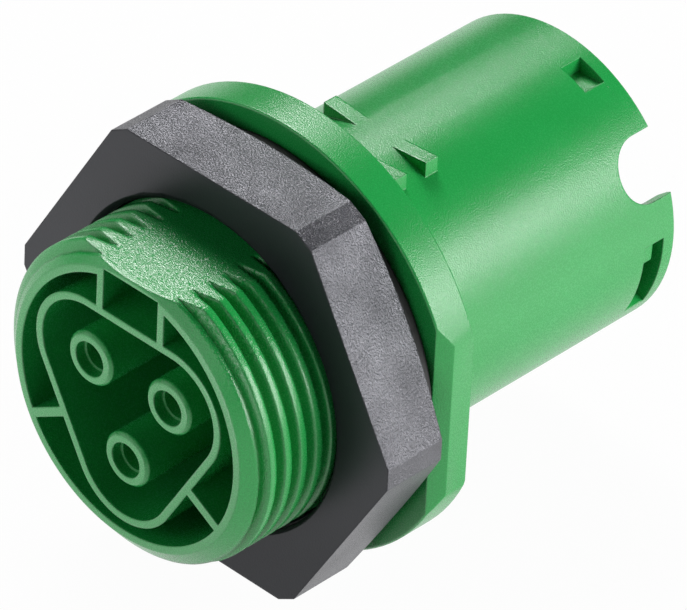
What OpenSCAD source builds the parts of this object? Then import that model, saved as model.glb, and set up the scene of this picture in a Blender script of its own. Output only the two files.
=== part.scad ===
// Panel-mount circular connector with three contacts.
// The axis runs along Y: the threaded neck points to -Y and the mating barrel to +Y.
// The origin is on the axis in the front face of the flange, where the panel is clamped.

/* [Threaded neck] */
// Diameter over the thread crests
thread_d = 25; // [22:0.5:30]
// Thread pitch
thread_pitch = 1.5; // [1:0.25:2]
// Depth of the thread groove
thread_depth = 0.85; // [0.5:0.05:1.1]
// Width of the flat on each crest
crest_w = 0.6; // [0.2:0.05:0.7]
// Width of the flat in each root
root_w = 0.25; // [0.1:0.05:0.35]
// Length of the neck from its front face to the flange
neck_len = 14.5; // [12:0.5:20]
// Length of the lead-in chamfer on the thread
lead_in_len = 0.5; // [0.3:0.05:1]
// Radial height of the lead-in chamfer
lead_in_h = 1.35; // [0.8:0.05:1.6]
// Wall from the thread root to the bore of the neck
neck_wall = 1.2; // [0.8:0.1:2]
// Depth of the keying flat below the thread crests
key_depth = 1.4; // [1:0.1:1.6]
// Wall left under the keying flat, between the two upper ribs
key_wall = 0.4; // [0.3:0.05:0.6]
// Length of the plain shoulder that carries the gasket
shoulder_len = 1.5; // [1:0.1:3]
// Step from the thread crests down to the shoulder
shoulder_step = 0.2; // [0.1:0.05:0.4]

/* [Shroud and ribs] */
// Distance of the shroud's corner arcs from the axis
shroud_corner_pos = 4.8; // [4:0.1:5.4]
// Outer radius of the shroud's corner arcs
shroud_corner_r = 4.9; // [4:0.1:5.2]
// Wall of the shroud
shroud_wall = 0.6; // [0.4:0.1:1]
// Distance of the two upper ribs from the middle
rib_x = 2.96; // [2:0.1:4]
// Thickness of the two upper ribs
upper_rib_t = 0.6; // [0.4:0.1:1]
// Thickness of the two lower ribs
lower_rib_t = 0.75; // [0.4:0.05:1]

/* [Contact sleeves] */
// Distance of the contact axes from the connector's axis
contact_pos = 4.45; // [4:0.05:5]
// Outer diameter of a sleeve
sleeve_d = 4.3; // [4:0.1:4.8]
// Chamfer of the sleeve's outer rim
sleeve_chamfer = 0.25; // [0.1:0.05:0.5]
// Distance of the sleeve's rim behind the front face
sleeve_setback = 0.1; // [0.05:0.05:1]
// Diameter of the countersunk mouth of a sleeve
mouth_d = 2.75; // [2.5:0.05:3]
// Depth of the mouth
mouth_depth = 0.9; // [0.4:0.1:1.5]
// Diameter of the entry behind the mouth
entry_d = 2.4; // [2.3:0.05:2.6]
// Length of the entry behind the mouth
entry_len = 1.4; // [0.8:0.1:3]

/* [Flange] */
// Diameter of the flange
flange_d = 34.9; // [31:0.1:42]
// Thickness of the flange
flange_t = 3.1; // [2:0.1:5]
// Width across the two side flats
flange_flats_w = 32.4; // [31.5:0.1:34]
// Depth of the bevel on the front edge of each side flat
flange_bevel_w = 0.8; // [0.4:0.05:1.2]
// Length of the bevel along the axis
flange_bevel_len = 1.15; // [0.5:0.05:1.8]
// Chamfer of the flange's edges
flange_chamfer = 0.12; // [0.05:0.01:0.4]

/* [Mating barrel] */
// Outer diameter of the barrel
barrel_d = 24; // [23:0.1:28]
// Wall of the barrel
barrel_wall = 1; // [0.8:0.1:1.6]
// Length of the barrel behind the flange
barrel_len = 25.8; // [22:0.1:35]
// Chamfer on the outside of the barrel's rim
rim_chamfer = 0.12; // [0.05:0.01:0.3]
// Lead-in chamfer on the inside of the rim
mouth_chamfer = 0.5; // [0.2:0.05:0.6]
// Thickness of the bulkhead between neck and barrel
bulkhead_t = 4; // [3.5:0.1:6]
// Width of the key notch in the rim, which ends in a half circle
notch_w = 5.1; // [4:0.1:6]
// Depth of the key notch
notch_depth = 4.4; // [3:0.1:6]
// Angle of the notch, clockwise from the top seen from the front
notch_angle = 59.5; // [50:0.5:70]
// Length of the latch windows and pockets along the axis
window_len = 2; // [1.5:0.1:3]
// Distance of the latch windows and pockets from the rim
window_setback = 1.2; // [0.8:0.1:2]
// Angle where the windows start
window_angle = 87.3; // [84:0.1:92]
// Angle that the windows span
window_span = 31.5; // [20:0.5:60]
// Angle that the lug in each window spans
lug_span = 8.8; // [5:0.1:12]
// Length of the lug along the axis
lug_len = 1.3; // [0.8:0.1:1.5]
// Depth of the lug below the barrel's surface
lug_recess = 0.4; // [0.2:0.1:0.8]

/* [Latch pockets] */
// Distance of a latch pocket from the barrel's middle
pocket_x = 2.9; // [2.4:0.1:3.4]
// Width of a latch pocket
pocket_w = 2.4; // [1.6:0.1:2.8]
// Depth of a pocket's flat floor below the barrel's crown
pocket_depth = 1.55; // [1.3:0.05:1.8]
// Thickness of the catch inside the barrel that backs a pocket's floor
catch_t = 0.9; // [0.6:0.1:1.5]
// Overhang of the catch past the pocket
catch_margin = 0.7; // [0.4:0.1:0.9]

/* [Grip bars] */
// Width of the bars across the barrel
bar_w = 10; // [7:0.1:12]
// Thickness of each bar
bar_t = 1.25; // [0.8:0.05:2]
// Distance of the first bar from the flange
bar_offset = 3.3; // [2:0.1:6]
// Distance from bar to bar
bar_pitch = 3.15; // [2.5:0.05:5]
// Drop of a bar's middle below the barrel's crown
bar_drop = 0.27; // [0.1:0.01:0.4]
// Rise of a bar's ends above the barrel's crown
bar_rise = 0.17; // [0.05:0.01:0.4]

/* [Lock nut] */
// Width of the nut across its flats
nut_flats_w = 32; // [30:0.5:38]
// Amount trimmed off each corner of the hexagon
nut_corner_trim = 0.5; // [0.2:0.05:1]
// Thickness of the nut
nut_t = 5.95; // [4:0.05:8]
// Diameter of the nut's rear face, where the chamfer of its corners starts
nut_face_d = 31.6; // [29:0.1:31.9]
// Slope of that chamfer
nut_face_angle = 15; // [10:1:30]
// Chamfer at both ends of the nut's bore
nut_chamfer = 0.4; // [0.2:0.1:0.8]
// Radial clearance of the nut over the thread crests
nut_clear = 0.15; // [0.1:0.05:0.3]
// Depth of the nut's thread groove
nut_groove_depth = 0.55; // [0.3:0.05:0.8]
// Gap between nut and gasket
nut_gap = 0.05; // [0.05:0.05:3]

/* [Gasket] */
// Outer diameter of the gasket
gasket_d = 31.4; // [28:0.1:33]
// Thickness of the gasket
gasket_t = 0.95; // [0.8:0.05:2]
// Rounding of the gasket's outer edges
gasket_edge_r = 0.3; // [0.1:0.05:0.35]
// Radial clearance of the gasket on the shoulder
gasket_clear = 0.1; // [0.05:0.05:0.2]

/* [Contacts] */
// Diameter of the socket and shank
contact_d = 3; // [2.8:0.05:3.2]
// Radial clearance of a contact in its bore
contact_clear = 0.06; // [0.05:0.01:0.1]
// Bore of the socket
socket_bore_d = 2; // [1.8:0.05:2.05]
// Depth of the socket's bore
socket_depth = 7; // [5:0.1:9]
// Width of the slit in the socket
slit_w = 0.4; // [0.2:0.05:0.6]
// Length of the slit
slit_len = 5.5; // [3:0.1:6]
// Diameter of the collar that stops the contact in the bulkhead
collar_d = 4.2; // [3.8:0.1:5]
// Thickness of the collar
collar_t = 1; // [0.6:0.1:1.5]
// Diameter of the contact pin
pin_d = 2.4; // [2:0.05:2.8]
// Length of the pin behind the bulkhead
pin_len = 17.5; // [12:0.5:20]
// Taper at the pin's tip
pin_tip = 0.6; // [0.3:0.1:0.9]

/* [Hidden] */
$fn = 96;
slack = 1;
bond = 0.3;
tangent_inset = 0.004;
thread_r = thread_d / 2;
root_r = thread_r - thread_depth;
neck_bore_r = root_r - neck_wall;
shoulder_r = thread_r - shoulder_step;
key_flat = thread_r - key_depth;
front = -neck_len;
thread_end = -shoulder_len;
flange_r = flange_d / 2;
flange_bevel_angle = atan(flange_bevel_len / flange_bevel_w);
barrel_r = barrel_d / 2;
barrel_bore_r = barrel_r - barrel_wall;
rim = flange_t + barrel_len;
window_front = rim - window_setback - window_len;
nut_rear = -gasket_t - nut_gap;
nut_bore_r = thread_r + nut_clear;
nut_corner = nut_flats_w / sqrt(3) - nut_corner_trim;
contact_bore_r = contact_d / 2 + contact_clear;
collar_seat = bulkhead_t - collar_t;
contact_front = front + sleeve_setback + mouth_depth + entry_len;
socket_front = contact_front + contact_clear;
pin_end = bulkhead_t + pin_len;
contact_angles = [-60, 60, 180];
corner_angles = [60, 180, 300];
half_turn = [0, 180];

// Thread groove: half widths at crest and root, and its flanks drawn on past the crests
groove_half = (thread_pitch - crest_w) / 2;
flank_slope = (groove_half - root_w / 2) / thread_depth;
groove_flare = 0.09;
groove_over = groove_flare / flank_slope;
groove_steps = 36;
groove_seam = 0.025;
neck_groove = [
    [thread_r + groove_over, -groove_half - groove_over * flank_slope],
    [root_r, -root_w / 2],
    [root_r, root_w / 2],
    [thread_r + groove_over, groove_half + groove_over * flank_slope]
];
nut_groove = [
    [nut_bore_r - groove_over, root_w / 2 + (nut_groove_depth + groove_over) * flank_slope],
    [nut_bore_r + nut_groove_depth, root_w / 2],
    [nut_bore_r + nut_groove_depth, -root_w / 2],
    [nut_bore_r - groove_over, -root_w / 2 - (nut_groove_depth + groove_over) * flank_slope]
];

function groove_point(profile, step, corner) = let(
    angle = 360 * step / groove_steps - 90,
    r = profile[corner][0],
    z = thread_pitch * step / groove_steps + profile[corner][1]
) [r * cos(angle), r * sin(angle), z];

// Turns the working frame, with its axis along Z and its top at -Y, into the part's frame
module lay_down() {
    rotate([-90, 0, 0]) children();
}

// Places a shape at an angle, clockwise from the top seen from the front
module at_angle(angle, r) {
    rotate([0, 0, angle]) translate([0, -r, 0]) children();
}

// Disc with its rear and front edges chamfered
module chamfered_disc(r, t, chamfer) {
    rotate_extrude() {
        polygon([
            [0, 0],
            [r - chamfer, 0],
            [r, chamfer],
            [r, t - chamfer],
            [r - chamfer, t],
            [0, t]
        ]);
    }
}

// Disc with its rear and front edges rounded
module rounded_disc(r, t, edge_r) {
    rotate_extrude() {
        square([r - edge_r, t]);
        translate([0, edge_r]) square([r, t - 2 * edge_r]);
        translate([r - edge_r, edge_r]) circle(edge_r);
        translate([r - edge_r, t - edge_r]) circle(edge_r);
    }
}

// Triangle with its flat side up and round corners. Its sides run just inside the tangents
// of the corner arcs, so that each side crosses its arcs at a point.
module rounded_triangle(corner_r) {
    side_r = corner_r - tangent_inset;
    polygon([
        for (angle = corner_angles, side = [-60, 60]) [
            shroud_corner_pos * sin(angle) + side_r * sin(angle + side),
            -shroud_corner_pos * cos(angle) - side_r * cos(angle + side)
        ]
    ]);
    for (angle = corner_angles) {
        at_angle(angle, shroud_corner_pos) circle(corner_r);
    }
}

// Right-hand helical groove with a given profile, from one height to another
module thread_groove(profile, start, end) {
    count = floor((end - start) / thread_pitch * groove_steps);
    points = [for (step = [0:count], corner = [0:3]) groove_point(profile, step, corner)];
    sides = [
        for (step = [0:count - 1], corner = [0:3]) let(
            a = 4 * step + corner,
            b = 4 * step + (corner + 1) % 4
        ) each [[a, b + 4, b], [a, a + 4, b + 4]]
    ];
    last = 4 * count;
    ends = [[0, 1, 2], [0, 2, 3], [last + 2, last + 1, last], [last + 3, last + 2, last]];
    translate([0, 0, start]) polyhedron(points, concat(sides, ends));
}

// Neck blank with lead-in and shoulder, threaded and cut to the keying flat
module neck() {
    difference() {
        rotate_extrude() {
            polygon([
                [0, front],
                [thread_r - lead_in_h, front],
                [thread_r, front + lead_in_len],
                [thread_r, thread_end],
                [shoulder_r, thread_end],
                [shoulder_r, bond],
                [0, bond]
            ]);
        }
        thread_groove(neck_groove, front - thread_pitch / 2 + groove_seam, thread_end - groove_half);
        translate([-thread_d, -key_flat - thread_d, front - slack]) {
            cube([2 * thread_d, thread_d, neck_len + slack]);
        }
    }
}

// Flange with two side flats, each with a bevelled front edge
module flange() {
    difference() {
        chamfered_disc(flange_r, flange_t, flange_chamfer);
        for (angle = [90, 270]) {
            at_angle(angle, flange_flats_w / 2) {
                translate([-flange_d, -flange_d, -slack]) {
                    cube([2 * flange_d, flange_d, flange_t + 2 * slack]);
                }
                translate([-flange_d, 0, flange_bevel_len]) {
                    rotate([-flange_bevel_angle, 0, 0]) {
                        translate([0, -flange_d, -flange_d]) {
                            cube([2 * flange_d, 2 * flange_d, flange_d]);
                        }
                    }
                }
            }
        }
    }
}

// Barrel blank and the two bars across its crown, whose tops rise a little towards their ends
module barrel() {
    chamfered_disc(barrel_r, rim, rim_chamfer);
    for (index = [0, 1]) {
        translate([0, 0, flange_t + bar_offset + index * bar_pitch]) {
            linear_extrude(bar_t) {
                polygon([
                    [-bar_w / 2, 0],
                    [-bar_w / 2, -barrel_r - bar_rise],
                    [0, -barrel_r + bar_drop],
                    [bar_w / 2, -barrel_r - bar_rise],
                    [bar_w / 2, 0]
                ]);
            }
        }
    }
}

// Bore of the barrel, with a lead-in at its mouth
module barrel_bore() {
    translate([0, 0, bulkhead_t]) cylinder(r = barrel_bore_r, h = rim);
    translate([0, 0, rim - mouth_chamfer]) {
        cylinder(r1 = barrel_bore_r, r2 = barrel_bore_r + mouth_chamfer, h = mouth_chamfer);
    }
}

// Wall segment of the barrel between two angles, from a bottom to a height
module wall_segment(angle, span, z, height, inner_r, outer_r) {
    rotate([0, 0, angle - 90]) {
        rotate_extrude(angle = span) {
            translate([inner_r, z]) square([outer_r - inner_r, height]);
        }
    }
}

// Latch window through the barrel, with the lug that stays in its corner
module latch_window(angle) {
    difference() {
        wall_segment(angle, window_span, window_front, window_len, barrel_bore_r - slack, barrel_r + slack);
        wall_segment(
            angle - lug_span, 2 * lug_span, window_front - slack, lug_len + slack,
            barrel_bore_r - 2 * slack, barrel_r - lug_recess
        );
    }
}

// Catch inside the barrel that backs a latch pocket
module latch_catch() {
    intersection() {
        translate([
            pocket_x - catch_margin,
            -barrel_r,
            window_front - catch_margin
        ]) {
            cube([pocket_w + 2 * catch_margin, pocket_depth + catch_t, window_len + 2 * catch_margin]);
        }
        cylinder(r = barrel_r - barrel_wall / 2, h = rim);
    }
}

// Blind latch pocket in the barrel's wall, with a flat floor
module latch_pocket() {
    translate([pocket_x, -barrel_r - slack, window_front]) {
        cube([pocket_w, pocket_depth + slack, window_len]);
    }
}

// Notch in the rim, open to the rear, with a half-round end
module key_notch() {
    rotate([0, 0, notch_angle]) {
        translate([0, 0, rim - notch_depth + notch_w / 2]) {
            rotate([90, 0, 0]) {
                linear_extrude(2 * barrel_r) {
                    circle(d = notch_w);
                    translate([-notch_w / 2, 0]) square([notch_w, notch_depth]);
                }
            }
        }
    }
}

// Shroud and ribs in the neck, flush with its front face
module shroud() {
    translate([0, 0, front]) {
        linear_extrude(neck_len + bond) {
            difference() {
                union() {
                    rounded_triangle(shroud_corner_r);
                    intersection() {
                        circle(neck_bore_r + bond);
                        union() {
                            for (side = [-1, 1]) {
                                translate([side * rib_x - upper_rib_t / 2, -thread_d]) {
                                    square([upper_rib_t, thread_d]);
                                }
                                rotate(side * 120) {
                                    translate([-lower_rib_t / 2, -thread_d]) {
                                        square([lower_rib_t, thread_d]);
                                    }
                                }
                            }
                        }
                    }
                }
                rounded_triangle(shroud_corner_r - shroud_wall);
            }
        }
    }
}

// Sleeve round one contact, with a chamfered rim
module sleeve() {
    translate([0, 0, front + sleeve_setback]) {
        chamfered_disc(sleeve_d / 2, neck_len - sleeve_setback + sleeve_chamfer + bond, sleeve_chamfer);
    }
}

// Stepped bore of one contact: mouth, entry, contact bore and collar seat
module contact_bore() {
    top = front + sleeve_setback;
    translate([0, 0, top - slack]) cylinder(d = mouth_d, h = mouth_depth + slack);
    translate([0, 0, top]) cylinder(d = entry_d, h = contact_front - top + slack);
    translate([0, 0, contact_front]) cylinder(r = contact_bore_r, h = bulkhead_t - contact_front + slack);
    translate([0, 0, collar_seat]) cylinder(d = collar_d + 2 * contact_clear, h = collar_t + slack);
}

module housing() {
    color("#2f9e4f")
    lay_down()
    difference() {
        union() {
            difference() {
                union() {
                    neck();
                    flange();
                    barrel();
                }
                translate([0, 0, front - slack]) cylinder(r = neck_bore_r, h = neck_len + slack);
                translate([-rib_x + upper_rib_t / 2, -key_flat + key_wall, front - slack]) {
                    cube([2 * rib_x - upper_rib_t, key_flat - key_wall, neck_len + slack]);
                }
                barrel_bore();
                for (turn = half_turn) {
                    latch_window(window_angle + turn);
                }
                key_notch();
            }
            for (turn = half_turn) {
                rotate([0, 0, turn]) latch_catch();
            }
            shroud();
            for (angle = contact_angles) {
                at_angle(angle, contact_pos) sleeve();
            }
        }
        for (turn = half_turn) {
            rotate([0, 0, turn]) latch_pocket();
        }
        for (angle = contact_angles) {
            at_angle(angle, contact_pos) contact_bore();
        }
    }
}

// Hexagon with trimmed corners, chamfered towards its rear face
module nut_blank() {
    corner_drop = (nut_flats_w - nut_face_d / 2) * tan(nut_face_angle);
    intersection() {
        cylinder(d = 2 * nut_flats_w / sqrt(3), h = nut_t, $fn = 6);
        rotate([0, 0, 30]) cylinder(r = nut_corner * 2 / sqrt(3), h = nut_t, $fn = 6);
        rotate_extrude() {
            polygon([
                [0, 0],
                [nut_flats_w, 0],
                [nut_flats_w, nut_t - corner_drop],
                [nut_face_d / 2, nut_t],
                [0, nut_t]
            ]);
        }
    }
}

module lock_nut() {
    color("#3a3a3e")
    lay_down()
    translate([0, 0, nut_rear - nut_t])
    difference() {
        nut_blank();
        translate([0, 0, -slack]) cylinder(r = nut_bore_r, h = nut_t + 2 * slack);
        translate([0, 0, -slack]) {
            cylinder(r1 = nut_bore_r + nut_chamfer + slack, r2 = nut_bore_r, h = nut_chamfer + slack);
        }
        translate([0, 0, nut_t - nut_chamfer]) {
            cylinder(r1 = nut_bore_r, r2 = nut_bore_r + nut_chamfer + slack, h = nut_chamfer + slack);
        }
        thread_groove(nut_groove, -thread_pitch, nut_t + thread_pitch);
    }
}

module flange_gasket() {
    hole_r = shoulder_r + gasket_clear;
    color("#1c1c1e")
    lay_down()
    translate([0, 0, -gasket_t])
    difference() {
        rounded_disc(gasket_d / 2, gasket_t, gasket_edge_r);
        translate([0, 0, -slack])
        intersection() {
            cylinder(r = hole_r, h = gasket_t + 2 * slack);
            translate([-hole_r, -key_flat - gasket_clear, 0]) {
                cube([2 * hole_r, 2 * hole_r, gasket_t + 2 * slack]);
            }
        }
    }
}

// Turned through-contact: slit socket in front, collar in the bulkhead, pin to the rear
module contact(angle) {
    color("#c9a24a")
    lay_down()
    at_angle(angle, contact_pos)
    difference() {
        rotate_extrude() {
            polygon([
                [0, socket_front],
                [contact_d / 2, socket_front],
                [contact_d / 2, collar_seat],
                [collar_d / 2, collar_seat],
                [collar_d / 2, bulkhead_t],
                [pin_d / 2, bulkhead_t],
                [pin_d / 2, pin_end - pin_tip],
                [pin_d / 2 - pin_tip / 2, pin_end],
                [0, pin_end]
            ]);
        }
        translate([0, 0, socket_front - slack]) cylinder(d = socket_bore_d, h = socket_depth + slack);
        translate([-slit_w / 2, -contact_d, socket_front - slack]) {
            cube([slit_w, 2 * contact_d, slit_len + slack]);
        }
    }
}

module contact_left() {
    contact(contact_angles[0]);
}

module contact_right() {
    contact(contact_angles[1]);
}

module contact_lower() {
    contact(contact_angles[2]);
}

housing();
lock_nut();
flange_gasket();
contact_left();
contact_right();
contact_lower();
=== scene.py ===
"""Panel-mount circular connector: a green moulded housing, a black lock nut, a gasket and turned contacts."""

import math

import bpy
from mathutils import Matrix, Vector


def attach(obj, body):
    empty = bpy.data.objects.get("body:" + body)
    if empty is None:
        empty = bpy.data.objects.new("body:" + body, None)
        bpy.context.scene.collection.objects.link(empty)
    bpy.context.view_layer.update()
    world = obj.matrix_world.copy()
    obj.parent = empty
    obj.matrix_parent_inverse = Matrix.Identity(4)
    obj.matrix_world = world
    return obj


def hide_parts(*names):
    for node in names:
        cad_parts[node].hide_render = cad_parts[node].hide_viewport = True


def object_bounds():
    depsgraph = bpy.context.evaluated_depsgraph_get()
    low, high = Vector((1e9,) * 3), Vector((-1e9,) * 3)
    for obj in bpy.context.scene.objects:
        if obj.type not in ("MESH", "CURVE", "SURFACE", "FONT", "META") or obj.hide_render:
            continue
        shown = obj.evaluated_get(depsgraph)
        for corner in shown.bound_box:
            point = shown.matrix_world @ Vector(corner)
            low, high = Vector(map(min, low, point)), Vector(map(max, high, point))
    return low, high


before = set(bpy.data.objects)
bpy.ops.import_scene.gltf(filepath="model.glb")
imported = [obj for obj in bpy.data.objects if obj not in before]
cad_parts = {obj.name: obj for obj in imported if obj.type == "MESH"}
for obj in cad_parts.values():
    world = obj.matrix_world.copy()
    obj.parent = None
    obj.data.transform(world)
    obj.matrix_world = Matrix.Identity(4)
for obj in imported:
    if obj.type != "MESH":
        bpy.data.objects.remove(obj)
CAD_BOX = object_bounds()
MM = 0.001
BODY = "connector"
CONTACTS = ("contact_left", "contact_right", "contact_lower")

# Points closer than this are one point, in metres, and edges flatter than this many degrees look smooth
MERGE_GAP = 0.001 * MM
SMOOTH_ANGLE = 30

# Cone of the neck's lead-in: its front end, radius there and back end in metres, rise per length, sides
LEAD_IN_FRONT = -15 * MM
LEAD_IN_R = 10.45 * MM
LEAD_IN_BACK = 40 * MM
LEAD_IN_SLOPE = 1.2
LEAD_IN_SIDES = 192

# Catches behind the barrel's windows: turns in degrees, then distance from the axis, place along it and
# size outwards, along and across, in metres
CATCH_TURNS = (103, 283)
CATCH_R = 10.6 * MM
CATCH_Y = 28 * MM
CATCH_SIZE = (1.8 * MM, 0.56 * MM, 6.2 * MM)

# Zones of the housing with a finish of their own: the middle of each and its reach to both sides, in metres,
# along the axis (Y), out from it (R) or across it (X and Z)
THREAD_ZONE = {"Y": (-7.9 * MM, 6.1 * MM), "R": (12 * MM, 1 * MM)}
ZONES = {
    "front": {"Y": (-14.4 * MM, 0.4 * MM)},
    "thread": THREAD_ZONE,
    "frost": {**THREAD_ZONE, "X": (2.5 * MM, 7 * MM), "Z": (10 * MM, 3 * MM)},
    "rim_line": {"Y": (27.72 * MM, 0.05 * MM), "R": (12 * MM, 0.1 * MM)},
}
# Green moulding: width of the patches where the melt flowed and depth of the grain in metres, share of that
# depth outside the frost, rise of the rim line in grain depths
FLOW_WIDTH = 5 * MM
GREEN_DEPTH = 0.04 * MM
GREEN_SHARE = 0.5
RIM_LINE_RISE = 1.5
# Its roughness, its specular level, how far that swings in the frost, and a frosted speck's width in grains
GREEN_ROUGHNESS = (0.22, 0.32)
GREEN_GLOSS = 0.6
FROST_SWING = 2.6
FROST_SPECK = 2.2
# Nut: most that a flat's normal leans along the axis, width of the sink marks and depth of the grain in
# metres, share of that depth on the two faces, width of its grain in grains of the housing
FLAT_LEAN = 0.5
SINK_WIDTH = 4 * MM
NUT_DEPTH = 0.11 * MM
NUT_FACE_SHARE = 0.1
NUT_GRAIN = 1.4
# Its roughness, the specular level of its faces, what the flats add to that as the noise of the sink marks
# goes from low to high, and that low and high
NUT_ROUGHNESS = (0.24, 0.46)
NUT_GLOSS = 0.24
NUT_FLAT_GLOSS = (0.62, 1.16)
SINK_RANGE = (0.3, 0.7)
# Gasket: width of the bloom's patches and its depth in metres, roughness
BLOOM_WIDTH = 0.6 * MM
BLOOM_DEPTH = 0.02 * MM
RUBBER_ROUGHNESS = (0.6, 0.85)
# Contacts: gap between the cutter's rings in metres, drawn coarser than a cutter leaves so that they show,
# length after which a wave of scale 1 repeats, roughness
RING_GAP = 0.1885 * MM
WAVE_LENGTH = math.pi / 10
BRASS_ROUGHNESS = (0.2, 0.34)
# Rays that a softened edge is averaged from
EDGE_RAYS = 8

# Side of the floor in metres, and the share of light that its matt part gives back
FLOOR_SIDE = 4
FLOOR_SHARE = 0.6
# Sensor width in millimetres and far limit of the camera in metres
SENSOR = 36
FAR_LIMIT = 10
# Watts that make a square metre of lamp as bright as white
WHITE_WATTS = 4
# Distance and side of every softbox, and height of a card over the floor, in metres
LAMP_REACH = 0.5
LAMP_SIZE = 0.19
CARD_LIFT = 0.1 * MM
# Softboxes: name, turn from the front to the right and height in degrees, brightness with 1 as white
SOFTBOXES = (
    ("low_right_softbox", 100, 6, 10.6),
    ("low_rear_right_softbox", 120, 6, 2.8),
    ("rear_right_softbox", 120, 22, 7.7),
    ("rear_softbox", 140, 22, 1.6),
    ("rear_left_softbox", 220, 50, 2.8),
    ("left_softbox", 240, 50, 14.3),
)
# Broad panel in front: turn and height in degrees, width and height in metres, brightness
PANEL = (340, 20, (1.0, 0.36), 1.05)
# Reflector cards on the floor: name, two corners in metres, brightness
CARDS = (
    ("front_card", (-0.02, -0.12), (0.005, -0.045), 3.5),
    ("near_card", (-0.05, -0.045), (-0.02, -0.0165), 0.55),
    ("neck_card", (-0.02, -0.045), (0.005, -0.0165), 0.3),
    ("barrel_card", (0.03, 0.004), (0.2, 0.12), 0.5),
)

bl_info = {
    "name": "Panel-mount circular connector",
    "version": (1, 0, 0),
    "blender": (4, 5, 0),
    "location": "View3D > Sidebar > Connector",
    "description": "Makes the connector's housing, finishes its other pieces and sets its studio",
    "category": "Object",
}


def linear(code):
    """Turns an sRGB hex colour into linear red, green and blue."""
    values = [int(code[i:i + 2], 16) / 255 for i in (0, 2, 4)]
    return tuple(v / 12.92 if v <= 0.04045 else ((v + 0.055) / 1.055) ** 2.4 for v in values)


class FinishSettings(bpy.types.PropertyGroup):
    """Colours of the pieces, and the grain and soft edges of the mouldings."""

    green: bpy.props.FloatVectorProperty(
        name="Green", description="Colour of the green polyamide", subtype="COLOR",
        default=linear("1f9546"), min=0, max=1)
    green_deep: bpy.props.FloatVectorProperty(
        name="Deep green", description="Deeper tone of the green where the melt flowed", subtype="COLOR",
        default=linear("1a8c3e"), min=0, max=1)
    black: bpy.props.FloatVectorProperty(
        name="Black", description="Colour of the glass-filled polyamide", subtype="COLOR",
        default=linear("1f2024"), min=0, max=1)
    rubber: bpy.props.FloatVectorProperty(
        name="Rubber", description="Colour of the gasket", subtype="COLOR",
        default=linear("141415"), min=0, max=1)
    brass: bpy.props.FloatVectorProperty(
        name="Brass", description="Colour of the contacts", subtype="COLOR",
        default=linear("d8b36a"), min=0, max=1)
    # The real grain is finer, and is drawn as coarse as it needs to show
    grain: bpy.props.FloatProperty(
        name="Grain", description="Width of the spark-eroded grain", unit="LENGTH",
        default=0.11 * MM, min=0.05 * MM, max=1 * MM)
    edge: bpy.props.FloatProperty(
        name="Edge", description="Radius that softens the moulded edges", unit="LENGTH",
        default=0.16 * MM, min=0, max=0.5 * MM)
    rim: bpy.props.FloatProperty(
        name="Rim", description="Radius added to the edges of the neck's front", unit="LENGTH",
        default=0.12 * MM, min=0, max=0.5 * MM)
    crest: bpy.props.FloatProperty(
        name="Crest", description="Radius that rounds the thread's crests", unit="LENGTH",
        default=0.36 * MM, min=0, max=1 * MM)


class StageSettings(bpy.types.PropertyGroup):
    """Camera, floor and room."""

    azimuth: bpy.props.FloatProperty(
        name="Azimuth", description="Camera's turn round the part", subtype="ANGLE",
        default=math.radians(42.43))
    elevation: bpy.props.FloatProperty(
        name="Elevation", description="Camera's height above the horizon", subtype="ANGLE",
        default=math.radians(36.23))
    roll: bpy.props.FloatProperty(
        name="Roll", description="Camera's tilt about its own axis", subtype="ANGLE",
        default=math.radians(3.02))
    aim: bpy.props.FloatVectorProperty(
        name="Aim", description="Point that the camera looks at", subtype="TRANSLATION",
        default=(2.915 * MM, 4.067 * MM, 1.413 * MM))
    distance: bpy.props.FloatProperty(
        name="Distance", description="Camera's distance from the point it looks at", unit="LENGTH",
        default=599.06 * MM)
    lens: bpy.props.FloatProperty(
        name="Lens", description="Camera's focal length in millimetres", unit="CAMERA", default=445.43)
    floor_gap: bpy.props.FloatProperty(
        name="Floor gap", description="Gap between the part's lowest point and the floor", unit="LENGTH",
        default=0.5 * MM)
    floor_glow: bpy.props.FloatProperty(
        name="Floor glow", description="Share of plain white in what the camera sees of the floor",
        subtype="FACTOR", default=0.97, min=0, max=1)
    ambient: bpy.props.FloatProperty(
        name="Ambient", description="Brightness of the room", default=0.02, min=0)


def add_node(tree, kind, sockets=None, **settings):
    """Adds a node, sets its options, and sets or links its sockets."""
    made = tree.nodes.new(kind)
    for name, value in settings.items():
        setattr(made, name, value)
    for key, value in (sockets or {}).items():
        if isinstance(value, bpy.types.NodeSocket):
            tree.links.new(value, made.inputs[key])
        else:
            made.inputs[key].default_value = value
    return made


def new_material(name):
    """Starts a material and returns it with its empty node tree."""
    material = bpy.data.materials.new(name)
    material.use_nodes = True
    material.node_tree.nodes.clear()
    return material, material.node_tree


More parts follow.
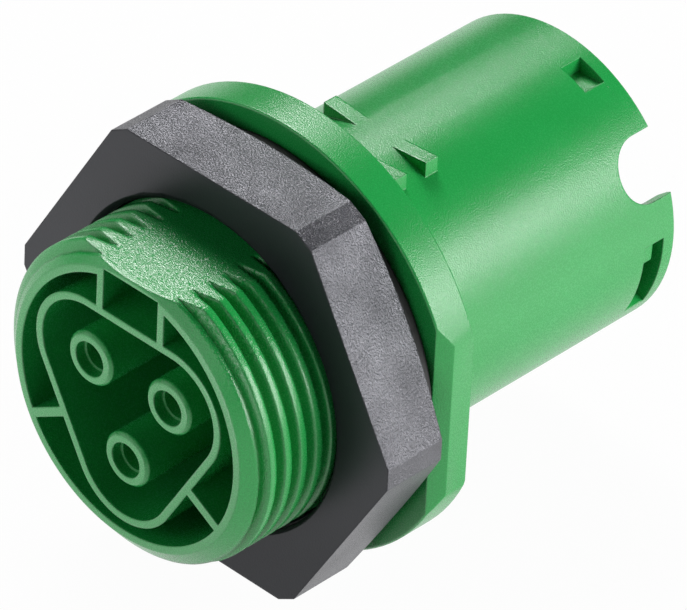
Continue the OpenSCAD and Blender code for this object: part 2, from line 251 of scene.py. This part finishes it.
def green_polyamide(finish):
    """Injection-moulded polyamide from a spark-eroded tool: a satin skin with fine grain.

    Its edges are soft, most of all the thread's crests. The tool left a fine line beside the rim and frosted
    the keying flat and the crests on its right.
    """
    material, tree = new_material("green_polyamide")
    place = add_node(tree, "ShaderNodeTexCoord").outputs["Object"]
    axes = add_node(tree, "ShaderNodeSeparateXYZ", {0: place}).outputs
    across = add_node(tree, "ShaderNodeVectorMath", {0: place, 1: (1, 0, 1)}, operation="MULTIPLY")
    outward = add_node(tree, "ShaderNodeVectorMath", {0: across.outputs[0]}, operation="LENGTH")
    ways = {"X": axes["X"], "Y": axes["Y"], "Z": axes["Z"], "R": outward.outputs["Value"]}

    # A mask is 1 inside its zone and 0 elsewhere
    masks = {}
    for zone, limits in ZONES.items():
        mask = 1.0
        for way, (middle, reach) in limits.items():
            inside = add_node(tree, "ShaderNodeMath", {
                0: ways[way], 1: middle, 2: reach}, operation="COMPARE")
            mask = add_node(tree, "ShaderNodeMath", {
                0: inside.outputs[0], 1: mask}, operation="MULTIPLY").outputs[0]
        masks[zone] = mask

    soft = add_node(tree, "ShaderNodeMath", {
        0: masks["front"], 1: finish.rim, 2: finish.edge}, operation="MULTIPLY_ADD")
    radius = add_node(tree, "ShaderNodeMath", {
        0: masks["thread"], 1: finish.crest - finish.edge, 2: soft.outputs[0]}, operation="MULTIPLY_ADD")
    edges = add_node(tree, "ShaderNodeBevel", {"Radius": radius.outputs[0]}, samples=EDGE_RAYS)
    grain = add_node(tree, "ShaderNodeTexNoise", {"Vector": place, "Scale": 1 / finish.grain, "Detail": 1.0})
    depth = add_node(tree, "ShaderNodeMath", {
        0: masks["frost"], 1: 1 - GREEN_SHARE, 2: GREEN_SHARE}, operation="MULTIPLY_ADD")
    height = add_node(tree, "ShaderNodeMath", {
        0: masks["rim_line"], 1: RIM_LINE_RISE, 2: grain.outputs["Fac"]}, operation="MULTIPLY_ADD")
    relief = add_node(tree, "ShaderNodeBump", {
        "Strength": depth.outputs[0], "Distance": GREEN_DEPTH, "Height": height.outputs[0],
        "Normal": edges.outputs[0]})

    flow = add_node(tree, "ShaderNodeTexNoise", {"Vector": place, "Scale": 1 / FLOW_WIDTH, "Detail": 2.0})
    tone = add_node(tree, "ShaderNodeMix", {
        "Factor": flow.outputs["Fac"], "A": (*finish.green, 1), "B": (*finish.green_deep, 1)},
        data_type="RGBA")
    gloss = add_node(tree, "ShaderNodeMapRange", {
        "Value": grain.outputs["Fac"], "To Min": GREEN_ROUGHNESS[0], "To Max": GREEN_ROUGHNESS[1]})
    speckle = add_node(tree, "ShaderNodeTexNoise", {
        "Vector": place, "Scale": 1 / (FROST_SPECK * finish.grain), "Detail": 2.0})
    sparkle = add_node(tree, "ShaderNodeMath", {
        0: speckle.outputs["Fac"], 1: FROST_SWING, 2: -FROST_SWING / 2}, operation="MULTIPLY_ADD")
    shine = add_node(tree, "ShaderNodeMath", {
        0: masks["frost"], 1: sparkle.outputs[0], 2: GREEN_GLOSS}, operation="MULTIPLY_ADD")
    skin = add_node(tree, "ShaderNodeBsdfPrincipled", {
        "Base Color": tone.outputs["Result"], "Roughness": gloss.outputs["Result"],
        "IOR": 1.53, "Specular IOR Level": shine.outputs[0], "Normal": relief.outputs["Normal"]})
    add_node(tree, "ShaderNodeOutputMaterial", {"Surface": skin.outputs["BSDF"]})
    return material


def black_polyamide(finish):
    """Glass-filled polyamide: black, with coarse grain that sparkles on the flats, and duller faces."""
    material, tree = new_material("black_glass_filled_polyamide")
    source = add_node(tree, "ShaderNodeTexCoord").outputs
    normal = add_node(tree, "ShaderNodeSeparateXYZ", {0: source["Normal"]}).outputs
    flats = add_node(tree, "ShaderNodeMath", {
        0: normal["Y"], 1: 0.0, 2: FLAT_LEAN}, operation="COMPARE").outputs[0]
    edges = add_node(tree, "ShaderNodeBevel", {"Radius": finish.edge}, samples=EDGE_RAYS)
    grain = add_node(tree, "ShaderNodeTexNoise", {
        "Vector": source["Object"], "Scale": 1 / (NUT_GRAIN * finish.grain), "Detail": 2.0,
        "Roughness": 0.6}).outputs["Fac"]
    depth = add_node(tree, "ShaderNodeMath", {
        0: flats, 1: 1 - NUT_FACE_SHARE, 2: NUT_FACE_SHARE}, operation="MULTIPLY_ADD")
    relief = add_node(tree, "ShaderNodeBump", {
        "Strength": depth.outputs[0], "Distance": NUT_DEPTH, "Height": grain, "Normal": edges.outputs[0]})

    gloss = add_node(tree, "ShaderNodeMapRange", {
        "Value": grain, "To Min": NUT_ROUGHNESS[0], "To Max": NUT_ROUGHNESS[1]})
    sink = add_node(tree, "ShaderNodeTexNoise", {
        "Vector": source["Object"], "Scale": 1 / SINK_WIDTH, "Detail": 1.0})
    mottle = add_node(tree, "ShaderNodeMapRange", {
        "Value": sink.outputs["Fac"], "From Min": SINK_RANGE[0], "From Max": SINK_RANGE[1],
        "To Min": NUT_FLAT_GLOSS[0], "To Max": NUT_FLAT_GLOSS[1]})
    shine = add_node(tree, "ShaderNodeMath", {
        0: flats, 1: mottle.outputs["Result"], 2: NUT_GLOSS}, operation="MULTIPLY_ADD")
    skin = add_node(tree, "ShaderNodeBsdfPrincipled", {
        "Base Color": (*finish.black, 1), "Roughness": gloss.outputs["Result"],
        "IOR": 1.55, "Specular IOR Level": shine.outputs[0], "Specular Tint": (0.93, 0.93, 1, 1),
        "Normal": relief.outputs["Normal"]})
    add_node(tree, "ShaderNodeOutputMaterial", {"Surface": skin.outputs["BSDF"]})
    return material


def gasket_rubber(finish):
    """Moulded rubber: black and dull, with a dusty bloom."""
    material, tree = new_material("gasket_rubber")
    place = add_node(tree, "ShaderNodeTexCoord").outputs["Object"]
    bloom = add_node(tree, "ShaderNodeTexNoise", {"Vector": place, "Scale": 1 / BLOOM_WIDTH, "Detail": 3.0})
    gloss = add_node(tree, "ShaderNodeMapRange", {
        "Value": bloom.outputs["Fac"], "To Min": RUBBER_ROUGHNESS[0], "To Max": RUBBER_ROUGHNESS[1]})
    relief = add_node(tree, "ShaderNodeBump", {
        "Strength": 0.3, "Distance": BLOOM_DEPTH, "Height": bloom.outputs["Fac"]})
    skin = add_node(tree, "ShaderNodeBsdfPrincipled", {
        "Base Color": (*finish.rubber, 1), "Roughness": gloss.outputs["Result"],
        "IOR": 1.5, "Normal": relief.outputs["Normal"]})
    add_node(tree, "ShaderNodeOutputMaterial", {"Surface": skin.outputs["BSDF"]})
    return material


def turned_brass(finish):
    """Turned brass: warm metal with fine rings left by the cutter."""
    material, tree = new_material("turned_brass")
    place = add_node(tree, "ShaderNodeTexCoord").outputs["Object"]
    rings = add_node(tree, "ShaderNodeTexWave", {
        "Vector": place, "Scale": WAVE_LENGTH / RING_GAP, "Distortion": 0.4}, bands_direction="Y")
    gloss = add_node(tree, "ShaderNodeMapRange", {
        "Value": rings.outputs["Fac"], "To Min": BRASS_ROUGHNESS[0], "To Max": BRASS_ROUGHNESS[1]})
    skin = add_node(tree, "ShaderNodeBsdfPrincipled", {
        "Base Color": (*finish.brass, 1), "Metallic": 1.0, "Roughness": gloss.outputs["Result"]})
    add_node(tree, "ShaderNodeOutputMaterial", {"Surface": skin.outputs["BSDF"]})
    return material


def studio_floor(stage):
    """Pale floor: the camera and reflections see it white, and it keeps a soft shadow."""
    material, tree = new_material("studio_floor")
    ray = add_node(tree, "ShaderNodeLightPath").outputs
    seen = add_node(tree, "ShaderNodeMath", {
        0: ray["Is Camera Ray"], 1: ray["Is Glossy Ray"]}, operation="MAXIMUM")
    seen = add_node(tree, "ShaderNodeMath", {
        0: seen.outputs[0], 1: ray["Is Transmission Ray"]}, operation="MAXIMUM")
    share = add_node(tree, "ShaderNodeMath", {
        0: seen.outputs[0], 1: stage.floor_glow}, operation="MULTIPLY")
    matt = add_node(tree, "ShaderNodeBsdfDiffuse", {"Color": (FLOOR_SHARE, FLOOR_SHARE, FLOOR_SHARE, 1)})
    white = add_node(tree, "ShaderNodeEmission", {"Color": (1, 1, 1, 1), "Strength": 1.0})
    mix = add_node(tree, "ShaderNodeMixShader", {
        0: share.outputs[0], 1: matt.outputs[0], 2: white.outputs[0]})
    add_node(tree, "ShaderNodeOutputMaterial", {"Surface": mix.outputs[0]})
    return material


def finish_node(name, material):
    """Gives a CAD node one finish in place of its plain one."""
    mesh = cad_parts[name].data
    mesh.materials.clear()
    mesh.materials.append(material)


def pick(piece):
    """Makes a piece the active one and the only one selected."""
    bpy.ops.object.select_all(action="DESELECT")
    piece.select_set(True)
    bpy.context.view_layer.objects.active = piece


def clean(step):
    """Runs a clean-up step on all of the active piece's mesh."""
    bpy.ops.object.mode_set(mode="EDIT")
    bpy.ops.mesh.select_all(action="SELECT")
    step(threshold=MERGE_GAP)
    bpy.ops.object.mode_set(mode="OBJECT")


def combine(piece, tool, operation):
    """Trims a piece with a tool or joins the two, and removes the tool."""
    pick(piece)
    step = piece.modifiers.new(tool.name, "BOOLEAN")
    step.operation = operation
    step.solver = "EXACT"
    step.object = tool
    bpy.ops.object.modifier_apply(modifier=step.name)
    bpy.data.objects.remove(tool)


class CONNECTOR_OT_housing(bpy.types.Operator):
    """Makes the green housing: the CAD form with the neck's full lead-in and a catch behind each window."""

    bl_idname = "connector.housing"
    bl_label = "Housing"

    def execute(self, context):
        piece = bpy.data.objects.new("housing_moulding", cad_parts["housing"].data.copy())
        context.collection.objects.link(piece)
        pick(piece)
        bpy.ops.mesh.customdata_custom_splitnormals_clear()
        clean(bpy.ops.mesh.remove_doubles)

        depth = LEAD_IN_BACK - LEAD_IN_FRONT
        bpy.ops.mesh.primitive_cone_add(
            vertices=LEAD_IN_SIDES, radius1=LEAD_IN_R, radius2=LEAD_IN_R + depth * LEAD_IN_SLOPE, depth=depth,
            location=(0, (LEAD_IN_FRONT + LEAD_IN_BACK) / 2, 0), rotation=(-math.pi / 2, 0, 0))
        combine(piece, context.object, "INTERSECT")
        for turn in CATCH_TURNS:
            angle = math.radians(turn)
            bpy.ops.mesh.primitive_cube_add(
                size=1, location=(CATCH_R * math.sin(angle), CATCH_Y, CATCH_R * math.cos(angle)),
                rotation=(0, angle - math.pi / 2, 0), scale=CATCH_SIZE)
            combine(piece, context.object, "UNION")
        clean(bpy.ops.mesh.dissolve_degenerate)
        bpy.ops.object.shade_smooth_by_angle(angle=math.radians(SMOOTH_ANGLE))

        piece.data.materials.clear()
        piece.data.materials.append(green_polyamide(context.scene.connector_finish))
        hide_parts("housing")
        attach(piece, BODY)
        return {"FINISHED"}


class CONNECTOR_OT_lock_nut(bpy.types.Operator):
    """Finishes the hexagonal lock nut."""

    bl_idname = "connector.lock_nut"
    bl_label = "Lock nut"

    def execute(self, context):
        finish_node("lock_nut", black_polyamide(context.scene.connector_finish))
        return {"FINISHED"}


class CONNECTOR_OT_gasket(bpy.types.Operator):
    """Finishes the gasket on the flange."""

    bl_idname = "connector.gasket"
    bl_label = "Gasket"

    def execute(self, context):
        finish_node("flange_gasket", gasket_rubber(context.scene.connector_finish))
        return {"FINISHED"}


class CONNECTOR_OT_contacts(bpy.types.Operator):
    """Finishes the three through-contacts."""

    bl_idname = "connector.contacts"
    bl_label = "Contacts"

    def execute(self, context):
        brass = turned_brass(context.scene.connector_finish)
        for name in CONTACTS:
            finish_node(name, brass)
        return {"FINISHED"}


def area_lamp(name, place, facing, size, glow):
    """Adds a rectangular soft light of a size and brightness, 1 being white, that faces along a direction."""
    bpy.ops.object.light_add(type="AREA", location=place)
    lamp = bpy.context.object
    lamp.name = name
    lamp.rotation_euler = (-Vector(facing)).to_track_quat("Z", "Y").to_euler()
    lamp.visible_camera = False
    lamp.data.shape = "RECTANGLE"
    lamp.data.size, lamp.data.size_y = size
    lamp.data.energy = WHITE_WATTS * size[0] * size[1] * glow


def towards(azimuth, elevation):
    """Gives the direction from the part at a turn round it, from the front to the right, and a height."""
    return Vector((
        math.sin(azimuth) * math.cos(elevation),
        -math.cos(azimuth) * math.cos(elevation),
        math.sin(elevation)))


def softbox(name, azimuth, elevation, glow, size=(LAMP_SIZE, LAMP_SIZE)):
    """Hangs a soft light at a turn and height in degrees, facing the part."""
    way = towards(math.radians(azimuth), math.radians(elevation))
    area_lamp(name, way * LAMP_REACH, -way, size, glow)


def floor_card(name, low, high, level, glow):
    """Lays a reflector card on the floor between two corners, facing up."""
    centre = ((low[0] + high[0]) / 2, (low[1] + high[1]) / 2, level)
    area_lamp(name, centre, (0, 0, 1), (high[0] - low[0], high[1] - low[1]), glow)


class CONNECTOR_OT_stage(bpy.types.Operator):
    """Sets the floor, the lamps, the room and the camera."""

    bl_idname = "connector.stage"
    bl_label = "Stage"

    def execute(self, context):
        stage = context.scene.connector_stage
        bpy.ops.object.select_all(action="DESELECT")
        low = CAD_BOX[0].z - stage.floor_gap
        bpy.ops.mesh.primitive_plane_add(size=FLOOR_SIDE, location=(0, 0, low))
        floor = context.object
        floor.name = "floor"
        bpy.ops.object.transform_apply()
        floor.data.materials.append(studio_floor(stage))

        for lamp in SOFTBOXES:
            softbox(*lamp)
        azimuth, elevation, size, glow = PANEL
        softbox("front_panel", azimuth, elevation, glow, size)
        for name, near, far, glow in CARDS:
            floor_card(name, near, far, low + CARD_LIFT, glow)

        world = bpy.data.worlds.new("room")
        context.scene.world = world
        world.use_nodes = True
        room = world.node_tree.nodes["Background"]
        room.inputs["Color"].default_value = (1, 1, 1, 1)
        room.inputs["Strength"].default_value = stage.ambient

        back = towards(stage.azimuth, stage.elevation)
        bpy.ops.object.camera_add(location=Vector(stage.aim) + back * stage.distance)
        camera = context.object
        turn = Matrix.Rotation(stage.azimuth, 4, "Z")
        tip = Matrix.Rotation(math.pi / 2 - stage.elevation, 4, "X")
        camera.rotation_euler = (turn @ tip @ Matrix.Rotation(stage.roll, 4, "Z")).to_euler()
        camera.data.lens = stage.lens
        camera.data.sensor_width = SENSOR
        camera.data.clip_end = FAR_LIMIT
        context.scene.camera = camera
        context.scene.view_settings.view_transform = "Standard"
        return {"FINISHED"}


class CONNECTOR_PT_panel(bpy.types.Panel):
    """Lists the connector's pieces and settings."""

    bl_idname = "CONNECTOR_PT_panel"
    bl_label = "Connector"
    bl_space_type = "VIEW_3D"
    bl_region_type = "UI"
    bl_category = "Connector"

    def draw(self, context):
        for operator in OPERATORS:
            self.layout.operator(operator.bl_idname)
        for settings in (context.scene.connector_finish, context.scene.connector_stage):
            for name in settings.__annotations__:
                self.layout.prop(settings, name)


OPERATORS = (
    CONNECTOR_OT_housing,
    CONNECTOR_OT_lock_nut,
    CONNECTOR_OT_gasket,
    CONNECTOR_OT_contacts,
    CONNECTOR_OT_stage,
)
CLASSES = (FinishSettings, StageSettings, *OPERATORS, CONNECTOR_PT_panel)


def register():
    """Makes the classes and their settings known to Blender."""
    for cls in CLASSES:
        bpy.utils.register_class(cls)
    bpy.types.Scene.connector_finish = bpy.props.PointerProperty(type=FinishSettings)
    bpy.types.Scene.connector_stage = bpy.props.PointerProperty(type=StageSettings)


def unregister():
    """Takes the settings and the classes away again."""
    del bpy.types.Scene.connector_finish
    del bpy.types.Scene.connector_stage
    for cls in reversed(CLASSES):
        bpy.utils.unregister_class(cls)


def main():
    """Builds the pieces and the stage in order."""
    register()
    bpy.ops.connector.housing()
    bpy.ops.connector.lock_nut()
    bpy.ops.connector.gasket()
    bpy.ops.connector.contacts()
    bpy.ops.connector.stage()


if __name__ == "__main__":
    main()
